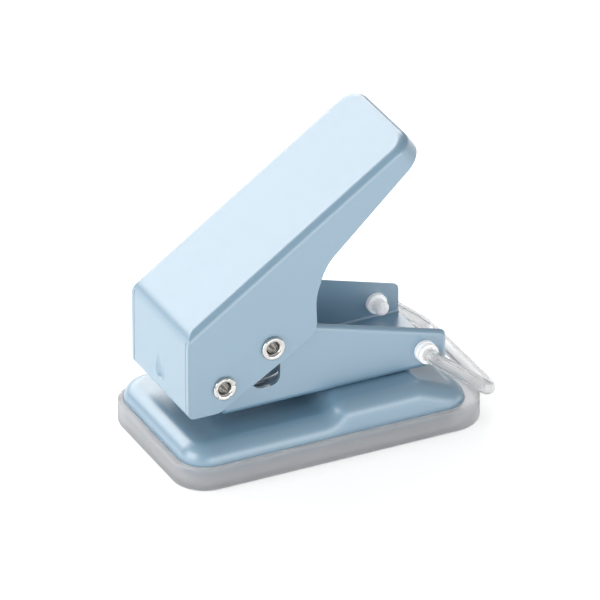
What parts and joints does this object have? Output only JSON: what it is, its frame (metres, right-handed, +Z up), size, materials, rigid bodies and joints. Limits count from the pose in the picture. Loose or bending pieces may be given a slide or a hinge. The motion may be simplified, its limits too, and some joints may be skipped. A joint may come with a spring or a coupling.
{
  "type": "hole punch",
  "caption": "Small one-hole desk punch: pressed-steel base, frame and raised lever handle, frosted chip tray, clear tube lock bail.",
  "frame": {"origin": "centre of the chip tray's flat underside, where the punch stands on the desk", "axes": "+X from the front (paper side) to the rear where the bail hangs, +Y across to the far side, +Z up"},
  "size_m": [0.0789, 0.0426, 0.0721],
  "materials": {
    "blue_paint": "satin light blue paint",
    "frosted_plastic": "frosted translucent",
    "clear_vinyl": "clear flexible tube",
    "white_plastic": "natural white, slightly translucent",
    "nickel_steel": "bright nickel plate",
    "tool_steel": "ground tool steel",
    "spring_steel": "drawn wire, zinc plated"
  },
  "bodies": {
    "base": {"base_plate": "blue_paint", "frame": "blue_paint", "die_ring": "tool_steel", "frame_rivets": "nickel_steel", "guide_bush": "tool_steel", "return_spring": "spring_steel"},
    "punch": {"punch_pin": "tool_steel", "spring_washer": "nickel_steel", "spring_clip": "spring_steel"},
    "handle": {"handle": "blue_paint", "pivot_rivet": "nickel_steel", "pivot_sleeve": "nickel_steel", "drive_rivet": "nickel_steel", "drive_spacers": "nickel_steel"},
    "lock_bail": {"lock_tube": "clear_vinyl", "lock_plug_near": "white_plastic", "lock_plug_far": "white_plastic"},
    "tray": {"chip_tray": "frosted_plastic"}
  },
  "joints": [
    {"name": "punch_slide", "type": "slide", "parent": "base", "child": "punch", "axis": [0, 0, -1], "range_m": [0, 0.0083], "stiffness_N_per_m": 300, "springref_m": -0.006, "deforming": ["return_spring"]},
    {"name": "handle_swing", "type": "hinge", "parent": "punch", "child": "handle", "pos_m": [-0.0134, 0, 0.0286], "axis": [0, 1, 0], "range_deg": [0, 36]},
    {"name": "bail_swing", "type": "hinge", "parent": "base", "child": "lock_bail", "pos_m": [0.0247, 0, 0.0179], "axis": [0, -1, 0], "range_deg": [0, 60]},
    {"name": "tray_release", "type": "slide", "parent": "base", "child": "tray", "axis": [0, 0, -1], "range_m": [0, 0.03]}
  ],
  "couplings": [
    {"joint": "punch_slide", "follows": "handle_swing", "m_per_rad": 0.01321}
  ]
}
